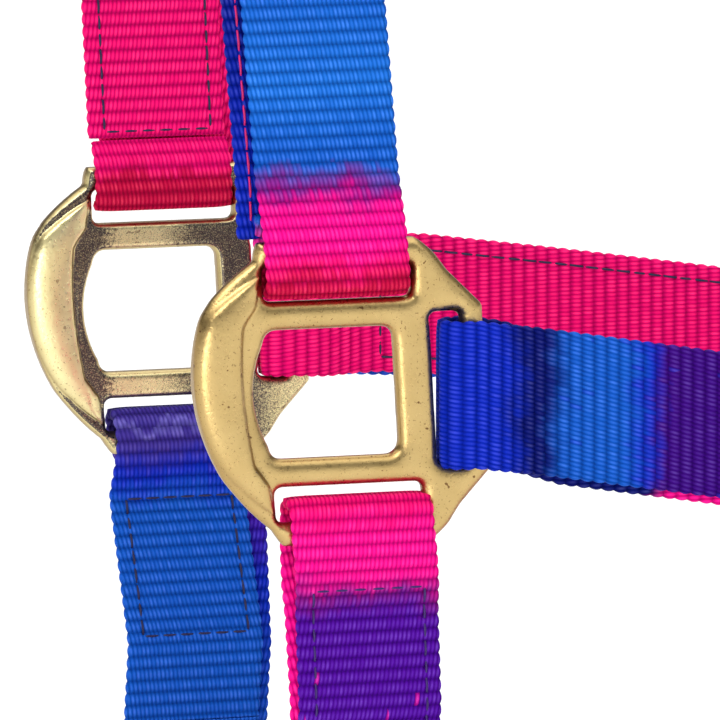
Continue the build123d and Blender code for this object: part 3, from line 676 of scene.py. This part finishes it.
def keeper(name, low, body, node, colour):
    """A band of narrow webbing round the strap and the tab."""
    half_x, near_y, far_y = 14.6, -45.5, -58.1
    points = [(1.0, near_y), (half_x, near_y), (half_x, far_y), (-half_x, far_y), (-half_x, near_y), (0.8, near_y)]

    def level(flat):
        return np.stack([flat[:, 0], flat[:, 1], 0 * flat[:, 0] + low + 4], 1)

    made = strap(name, points, [1.6] * 4, level, (0, 0, 1), width=8.0, columns=8)
    return fit(made, dyed(f"{name}_dye", [(0, colour), (40, colour), (80, PURPLE)]), body, node)


keeper("fixed_keeper_band", HEEL[1] - 15, "head", "fixed_keeper", ROYAL)
keeper("sliding_keeper_band", HEEL[1] - 32, "keeper", "sliding_keeper", NAVY)

# %% [markdown]
# The throat strap hangs from the far cheek ring, passes under the jaw and comes
# up to the snap.  The jaw strap ties it to the lead ring, with long loops so
# that the nose part can swing a little.

# %% Throat and jaw straps
EYE_Z = -318.15
RING_BOTTOM = RING_Z - RING_C
BEND = 34.0
throat_points = [
    (-10.0, THROAT_Z + PLY), (-HALF_SPAN + PLY, THROAT_Z + PLY),
    (-HALF_SPAN + PLY, EYE_Z - 9), (-HALF_SPAN + 3.5, EYE_Z - 1),
    (-HALF_SPAN + 3.5, EYE_Z + 3.5), (-HALF_SPAN - 3.5, EYE_Z + 3.5),
    (-HALF_SPAN - 3.5, EYE_Z - 1), (-HALF_SPAN - PLY, EYE_Z - 9),
    (-HALF_SPAN - PLY, THROAT_Z - PLY), (HALF_SPAN + PLY, THROAT_Z - PLY),
    (HALF_SPAN + PLY, RING_BOTTOM - 9), (HALF_SPAN + 4, RING_BOTTOM - 1),
    (HALF_SPAN + 4, RING_BOTTOM + 4), (HALF_SPAN - 4, RING_BOTTOM + 4),
    (HALF_SPAN - 4, RING_BOTTOM - 1), (HALF_SPAN - PLY, RING_BOTTOM - 9),
    (HALF_SPAN - PLY, THROAT_Z + PLY), (-9.8, THROAT_Z + PLY),
]
throat_radii = [BEND - PLY - 8, 8, 5, 3.4, 3.4, 5, 8, BEND + PLY - 8, BEND + PLY, 8, 5, 3.9, 3.9, 5, 8, BEND - PLY]
throat = strap("throat_webbing", throat_points, throat_radii, head_place, (1, 0, 0), rows=6, columns=18)
throat_bands = [
    (0, BLUE), (60, PURPLE), (110, PINK), (170, BLUE), (240, ROYAL), (300, PURPLE), (360, PINK),
    (440, BLUE),
]
fit(throat, dyed("throat_dye", throat_bands), "head", "throat_strap")


def jaw_place(flat):
    """(along the head, height), on the centre line."""
    return np.stack([flat[:, 0], 0 * flat[:, 0], flat[:, 1]], 1)


def jaw_line():
    """The jaw strap's line: long loops at both ends, two plies between."""
    front, rear = np.array([RAIL_X, LEAD_Z]), np.array([-RING_C, THROAT_Z])
    ahead = (rear - front) / np.linalg.norm(rear - front)
    left = np.array([-ahead[1], ahead[0]])
    middle = (front + rear) / 2
    f_low, f_high, f_half = RAIL_X - 8.8, RAIL_X + 9.5, 4.9
    r_low, r_high, r_half = -19.25, 21.1, 4.25
    steps = [
        middle + PLY * left, front + 17 * ahead + PLY * left,
        (f_high, LEAD_Z + f_half), (f_low, LEAD_Z + f_half),
        (f_low, LEAD_Z - f_half), (f_high, LEAD_Z - f_half),
        front + 17 * ahead - PLY * left, rear - 27 * ahead - PLY * left,
        (r_low, THROAT_Z - r_half), (r_high, THROAT_Z - r_half),
        (r_high, THROAT_Z + r_half), (r_low, THROAT_Z + r_half),
        rear - 27 * ahead + PLY * left, middle + PLY * left + 0.2 * ahead,
    ]
    return [tuple(p) for p in steps], [6, 4, 4.8, 4.8, 4, 6, 6, 4, 4.1, 4.1, 4, 6]


jaw_points, jaw_radii = jaw_line()
jaw = strap("jaw_webbing", jaw_points, jaw_radii, jaw_place, (0, 1, 0), rows=6, columns=18)
jaw_bands = [
    (0, PURPLE), (60, BLUE), (110, PINK), (180, PURPLE), (260, BLUE), (320, PINK),
]
fit(jaw, dyed("jaw_dye", jaw_bands), "jaw", "jaw_strap")

# %% [markdown]
# The stitching.  Thick bonded thread, sunk a little into the webbing at each
# needle hole, drawn as one small arched cord for each stitch.

# %% Stitching
def thread_material(name, colour):
    """Bonded thread, slightly glossy, with a twist."""
    material, tree, shader = new_material(name)
    wave = tree.nodes.new("ShaderNodeTexWave")
    wave.inputs["Scale"].default_value = 900
    wave.inputs["Distortion"].default_value = 2.0
    tree.links.new(tree.nodes.new("ShaderNodeTexCoord").outputs["Object"], wave.inputs["Vector"])
    dark = tuple(c * 0.5 for c in colour[:3]) + (1.0,)
    tree.links.new(mix(tree, wave.outputs["Fac"], dark, colour), shader.inputs["Base Color"])
    shader.inputs["Roughness"].default_value = 0.45
    return material


NAVY_THREAD = thread_material("navy_thread", srgb(16, 20, 78))
PINK_THREAD = thread_material("pink_thread", srgb(235, 20, 120))
PURPLE_THREAD = thread_material("purple_thread", srgb(52, 4, 110))


def stitch_line(made, corners, side, stitch=3.0, gap=0.5):
    """Arched stitches along straight rows on a strap; corners are (run, across)."""
    tubes = []
    for (run_a, across_a), (run_b, across_b) in zip(corners, corners[1:]):
        total = math.hypot(run_b - run_a, across_b - across_a)
        count = max(1, int(total / stitch))
        for number in range(count):
            shares = (number + np.array([gap / stitch / 2, 1 - gap / stitch / 2])) / count
            pts = []
            for share in np.linspace(shares[0], shares[1], 7):
                run = run_a + (run_b - run_a) * share
                across = across_a + (across_b - across_a) * share
                bow = math.sin(math.pi * (share - shares[0]) / (shares[1] - shares[0]))
                base = np.array([np.interp(run, made["run"], made["centre"][:, k]) for k in range(3)])
                out = np.array([np.interp(run, made["run"], made["out"][:, k]) for k in range(3)])
                pts.append(base + made["wide"] * across + side * out * (PLY - 0.3 + 0.34 * bow))
            tubes.append(np.array(pts))
    return tubes


def sew(name, made, rows, side, thread, body, stitch=3.0):
    """One object with every stitch of several rows."""
    vertices, faces = [], []
    angles = np.linspace(0, 2 * math.pi, 7)[:-1]
    for corners in rows:
        for tube in stitch_line(made, corners, side, stitch):
            heading = np.gradient(tube, axis=0)
            heading /= np.linalg.norm(heading, axis=1)[:, None]
            first = np.cross(heading, made["out"][0] * 0.3 + made["wide"] + 0.013)
            first /= np.linalg.norm(first, axis=1)[:, None]
            second = np.cross(heading, first)
            start = len(vertices)
            for spot, a, b in zip(tube, first, second):
                vertices += [spot + 0.21 * (math.cos(t) * a + math.sin(t) * b) for t in angles]
            for ring in range(len(tube) - 1):
                for k in range(6):
                    p, q = start + ring * 6 + k, start + ring * 6 + (k + 1) % 6
                    faces.append((p, q, q + 6, p + 6))
            faces.append(tuple(start + k for k in range(5, -1, -1)))
            faces.append(tuple(start + (len(tube) - 1) * 6 + k for k in range(6)))
    mesh = bpy.data.meshes.new(name)
    mesh.from_pydata([tuple(v * MM) for v in vertices], [], faces)
    mesh.polygons.foreach_set("use_smooth", [True] * len(faces))
    mesh.materials.append(thread)
    piece = bpy.data.objects.new(name, mesh)
    bpy.context.scene.collection.objects.link(piece)
    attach(piece, body)
    print(name, len(faces), "faces")


def run_at(made, axis, value, which):
    """The distance along a strap at which it passes a plane, for one of its plies."""
    places = made["centre"][:, axis] - value
    return float(made["run"][np.nonzero(places[1:] * places[:-1] <= 0)[0][which]])


def sew_box(name, made, start, end, toward, thread, body, half=10.0, cross=True):
    """A stitched box, crossed from corner to corner, on the face that looks one way."""
    spot = int(np.argmin(np.abs(made["run"] - (start + end) / 2)))
    side = 1 if made["out"][spot] @ np.array(toward, float) > 0 else -1
    rows = [[(start, -half), (start, half), (end, half), (end, -half), (start, -half)]]
    if cross:
        rows += [[(start, -half), (end, half)], [(start, half), (end, -half)]]
    sew(name, made, rows, side, thread, body)


NEAR, FAR, DOWN, UP = (0, -1, 0), (0, 1, 0), (0, 0, -1), (0, 0, 1)
end = nose_inner["run"][-1]
sew_box("lining_box_far", nose_inner, end - 1.2, end - 44, NEAR, NAVY_THREAD, "muzzle", cross=False)
sew("lining_edge_near", nose_inner, [[(3, -10.6), (62, -10.6)]], -1, PINK_THREAD, "muzzle", 4.2)
start = run_at(nose_outer, 2, SQUARE_Z + 36, 1)
sew_box("nose_box_far", nose_outer, start, start - 42, FAR, NAVY_THREAD, "muzzle", cross=False)
CHIN_BOXES = (
    (chin_near, PURPLE_THREAD, "chin_box_near", (NEAR, FAR)),
    (chin_far, NAVY_THREAD, "chin_box_far", (FAR, NEAR)),
)
for made, thread, name, toward in CHIN_BOXES:
    start = run_at(made, 2, SQUARE_Z - 34, 1)
    sew_box(name, made, start, start + 26, toward[0], thread, "muzzle", cross=False)
    start = run_at(made, 2, SQUARE_Z - 34, 0)
    sew_box(f"{name}_inside", made, start, start - 26, toward[1], thread, "muzzle", cross=False)
CHEEK_BOXES = (
    (cheek_near, NAVY_THREAD, "cheek_box_near", "cheek_near", (NEAR, FAR)),
    (cheek_far, NAVY_THREAD, "cheek_box_far", "cheek_far", (FAR, NEAR)),
)
for made, thread, name, body, toward in CHEEK_BOXES:
    start = run_at(made, 0, RAIL_X + 16, 0)
    sew_box(f"{name}_inside", made, start, start - 88, toward[1], thread, body, cross=False)
    start = run_at(made, 0, -RING_C - 20, 0)
    sew_box(f"{name}_ring", made, start, start - 24, toward[0], thread, body)
start = run_at(crown, 2, RING_TOP + 15, 1)
sew_box("crown_box", crown, start, start + 42, FAR, NAVY_THREAD, "head")
start = run_at(crown, 2, RING_TOP + 15, 0)
sew_box("crown_box_inside", crown, start, start - 42, NEAR, NAVY_THREAD, "head")
start = run_at(tab, 2, RING_TOP + 14, 1)
up_tab = np.sign(run_at(tab, 2, RING_TOP + 30, 1) - start)
sew_box("tab_box", tab, start, start + 26 * up_tab, NEAR, NAVY_THREAD, "head")
start = run_at(throat, 2, EYE_Z - 12, 1)
sew_box("throat_box_near", throat, start, start + 20, NEAR, NAVY_THREAD, "head")
start = run_at(throat, 2, RING_BOTTOM - 14, 0)
sew_box("throat_box_far", throat, start, start - 26, FAR, NAVY_THREAD, "head")
start = run_at(jaw, 0, RAIL_X + 22, 1)
sew_box("jaw_box_front", jaw, start, start + 22, DOWN, NAVY_THREAD, "jaw")
start = run_at(jaw, 0, -RING_C - 30, 0)
sew_box("jaw_box_rear", jaw, start, start - 22, DOWN, NAVY_THREAD, "jaw")

# %% [markdown]
# The castings.  The squares, rings, buckle and snap are sand-cast brass, so
# their edges are soft and the skin is slightly pitted.  A copy of each part of
# the imported model is skinned with a fine even mesh and relaxed, which rounds
# its edges as tumbling does.

# %% Brass
# the colour of the painted shade on the brass's sloping sides
SHADED_SIDE_BRASS = srgb(126, 94, 48)
SPECK_BROWN = srgb(96, 60, 36)
# the colour of the painted dark reflection on the polished square's flat faces
REFLECTED_CHARCOAL = srgb(66, 58, 66)


def brass(name, tint, rough, pits, side_shade=0.0, reflection_ramp=None):
    """Tumbled cast brass: satin faces, sides darkened by painted shade, small pits and specks."""
    material, tree, shader = new_material(name)
    place = tree.nodes.new("ShaderNodeTexCoord")
    normal = tree.nodes.new("ShaderNodeSeparateXYZ")
    tree.links.new(place.outputs["Normal"], normal.inputs[0])
    broad = noise(tree, 160, 3)
    fine = noise(tree, 1500, 4, 0.6)
    speck = noise(tree, 700, 1)
    facing = calc(tree, "ABSOLUTE", normal.outputs["Y"])
    darker = tuple(c * k for c, k in zip(tint[:3], (0.8, 0.76, 0.68))) + (1.0,)
    colour = mix(tree, broad, tint, darker)
    # painted shade: faces that turn away from the front and back of a casting are mixed toward a darker brass
    side = calc(tree, "POWER", calc(tree, "SUBTRACT", 1.0, calc(tree, "MINIMUM", facing, 1.0)), 0.9)
    colour = mix(tree, calc(tree, "MULTIPLY", calc(tree, "MINIMUM", side, 0.85), side_shade), colour, SHADED_SIDE_BRASS)
    pin_holes = calc(tree, "MULTIPLY", calc(tree, "GREATER_THAN", noise(tree, 2300, 1), 0.69), 0.45)
    colour = mix(tree, pin_holes, colour, SPECK_BROWN)
    brown = calc(tree, "MULTIPLY", calc(tree, "GREATER_THAN", speck, 0.735), pits)
    colour = mix(tree, brown, colour, SPECK_BROWN)
    # painted reflection: the polished square's flat faces are darkened toward charcoal along its length, with a fine
    # speckle
    if reflection_ramp is not None:
        spot = tree.nodes.new("ShaderNodeSeparateXYZ")
        tree.links.new(place.outputs["Object"], spot.inputs[0])
        along = calc(tree, "DIVIDE", calc(tree, "ADD", spot.outputs["X"], (30 - SQUARE_X) * MM), 60 * MM)
        depth = calc(tree, "ABSOLUTE", calc(tree, "SUBTRACT", spot.outputs["Y"], HALF_SPAN * MM))
        shallow = calc(tree, "LESS_THAN", depth, 2.12 * MM)
        flat_part = calc(tree, "MULTIPLY", shallow, calc(tree, "GREATER_THAN", facing, 0.8))
        tone = ramp(tree, calc(tree, "MULTIPLY_ADD", fine, 0.16, calc(tree, "SUBTRACT", along, 0.08)), reflection_ramp)
        dark = tree.nodes.new("ShaderNodeSeparateXYZ")
        tree.links.new(tone, dark.inputs[0])
        grain = calc(tree, "MULTIPLY", calc(tree, "SUBTRACT", noise(tree, 4600, 1), 0.5), 2.2)
        grainy = calc(tree, "ADD", dark.outputs["X"], grain)
        shade = calc(tree, "MINIMUM", calc(tree, "MAXIMUM", grainy, 0.0), 0.95)
        colour = mix(tree, calc(tree, "MULTIPLY", shade, flat_part), colour, REFLECTED_CHARCOAL)
    tree.links.new(colour, shader.inputs["Base Color"])
    shader.inputs["Metallic"].default_value = 1.0
    tree.links.new(calc(tree, "MULTIPLY_ADD", fine, 0.22, rough - 0.11), shader.inputs["Roughness"])
    bump = tree.nodes.new("ShaderNodeBump")
    bump.inputs["Strength"].default_value = 0.3
    bump.inputs["Distance"].default_value = 0.00018
    tree.links.new(calc(tree, "SUBTRACT", fine, calc(tree, "MULTIPLY", brown, 0.5)), bump.inputs["Height"])
    tree.links.new(bump.outputs["Normal"], shader.inputs["Normal"])
    return material


def grey(value):
    """How much painted dark reflection covers the brass's flat faces, from 0 for bare to 1 for all of it."""
    return (value, value, value, 1.0)


CAST = brass("cast_brass", srgb(212, 184, 125), 0.3, 0.8, 0.75)
TURNED = brass("plain_brass", srgb(214, 186, 127), 0.28, 0.6)
# how much painted dark reflection lies on the polished square's flat faces, from one end to the other
PLATE_REFLECTION = [
    (0.0, grey(0.9)), (0.32, grey(0.95)), (0.37, grey(0.0)), (0.49, grey(0.0)), (0.62, grey(0.9)),
    (0.78, grey(1.0)), (0.88, grey(0.3)), (1.0, grey(0.1)),
]
POLISHED = brass("polished_brass", srgb(252, 240, 182), 0.3, 0.5, 1.0, PLATE_REFLECTION)


def bake(piece):
    """Keeps what the modifiers make as the piece's own mesh."""
    bpy.context.view_layer.update()
    made = bpy.data.meshes.new_from_object(piece.evaluated_get(bpy.context.evaluated_depsgraph_get()))
    piece.modifiers.clear()
    piece.data = made


def mould(piece, middle_y, plate_round, bar_round):
    """Gives the flat model of a square the swelling, rounded bars of the casting."""
    mesh = piece.data
    count = len(mesh.vertices)
    spots = np.zeros(count * 3)
    mesh.vertices.foreach_get("co", spots)
    spots = spots.reshape(-1, 3) / MM
    normals = np.zeros(count * 3)
    mesh.vertex_normals.foreach_get("vector", normals)
    across = spots[:, 1] - middle_y
    walls = (np.abs(normals.reshape(-1, 3)[:, 1]) < 0.5) & (np.abs(across) < 1.8)
    tree = kdtree.KDTree(int(walls.sum()))
    for number, (x, y, z) in enumerate(spots[walls]):
        tree.insert((x, 0, z), number)
    tree.balance()
    inside = np.array([tree.find((x, 0, z))[2] for x, y, z in spots])
    reach = np.where(np.abs(across) > 2.05, bar_round, plate_round)
    share = np.clip(inside / reach, 0, 1)
    spots[:, 1] = middle_y + across * (0.36 + 0.64 * np.sqrt(1 - (1 - share) ** 2))
    high = np.abs(spots[:, 2] - SQUARE_Z)
    back = spots[:, 0] - SQUARE_X + SLANT * (spots[:, 2] - SQUARE_Z)
    slots = np.interp(high, [12, 15.5, 23.5, 27], [0, 1, 1, 0])
    slots = slots * np.interp(back, [-21, -14.5, 14.5, 22], [0, 1, 1, 0])
    rear = np.interp(high, [11, 15], [1, 0]) * np.interp(back, [12.5, 16.5, 18.5, 22], [0, 1, 1, 0])
    spots[:, 0] += 2.1 * slots + 0.9 * rear
    tips = np.interp(high, [22, 26], [0, 1]) * np.interp(back, [-18, -3], [1, 0])
    front = np.maximum(np.interp(back, [-19, -13.5], [1, 0]), tips)
    lean = np.interp(spots[:, 2] - SQUARE_Z, [-28, -14, 0, 14, 22, 30], [0.9, 0.5, -0.7, -2.0, -2.2, -1.4])
    spots[:, 0] += front * lean
    mesh.vertices.foreach_set("co", (spots * MM).ravel())
    mesh.update()


def cast(node, body, finish, fineness=0.4, soften=6, middle_y=None, plate_round=2.8, bar_round=5.2):
    """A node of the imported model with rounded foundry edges."""
    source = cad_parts[node]
    piece = bpy.data.objects.new(f"{node}_cast", source.data.copy())
    bpy.context.scene.collection.objects.link(piece)
    skin = piece.modifiers.new("skin", "REMESH")
    skin.mode = "VOXEL"
    skin.voxel_size = fineness * MM
    skin.use_smooth_shade = True
    if middle_y is not None:
        bake(piece)
        mould(piece, middle_y, plate_round, bar_round)
    relax = piece.modifiers.new("relax", "SMOOTH")
    relax.iterations = soften
    relax.factor = 0.5
    bake(piece)
    piece.data.materials.clear()
    piece.data.materials.append(finish)
    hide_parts(node)
    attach(piece, body)
    print(node, len(piece.data.polygons), "faces")
    return piece


cast("square_near", "muzzle", CAST, 0.36, 13, -HALF_SPAN)
cast("square_far", "muzzle", POLISHED, 0.36, 4, HALF_SPAN, 1.0)
for node, body, finish, fineness, soften in (
    ("lead_ring", "lead_ring", TURNED, 0.5, 3),
    ("cheek_ring_near", "head", TURNED, 0.45, 3),
    ("cheek_ring_far", "head", TURNED, 0.45, 3),
    ("buckle_frame", "head", TURNED, 0.4, 3),
    ("buckle_roller", "roller", TURNED, 0.3, 3),
    ("buckle_tongue", "tongue", TURNED, 0.3, 3),
    ("crown_eyelets", "head", TURNED, 0.16, 2),
    ("snap_hook", "snap", TURNED, 0.3, 4),
    ("snap_bolt", "bolt", TURNED, 0.25, 3),
    ("snap_eye", "head", TURNED, 0.3, 3),
):
    cast(node, body, finish, fineness, soften)

# %% [markdown]
# The little spring inside the snap keeps its imported shape.  It is copied and
# moves with the snap.

# %% Spring steel
steel, tree, shader = new_material("spring_steel")
shader.inputs["Metallic"].default_value = 1.0
shader.inputs["Roughness"].default_value = 0.3
tree.links.new(mix(tree, noise(tree, 900, 3), srgb(150, 152, 156), srgb(196, 198, 202)), shader.inputs["Base Color"])
spring = bpy.data.objects.new("spring_coil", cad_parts["snap_spring"].data.copy())
bpy.context.scene.collection.objects.link(spring)
spring.data.materials.clear()
spring.data.materials.append(steel)
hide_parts("snap_spring")
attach(spring, "snap")
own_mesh(spring)
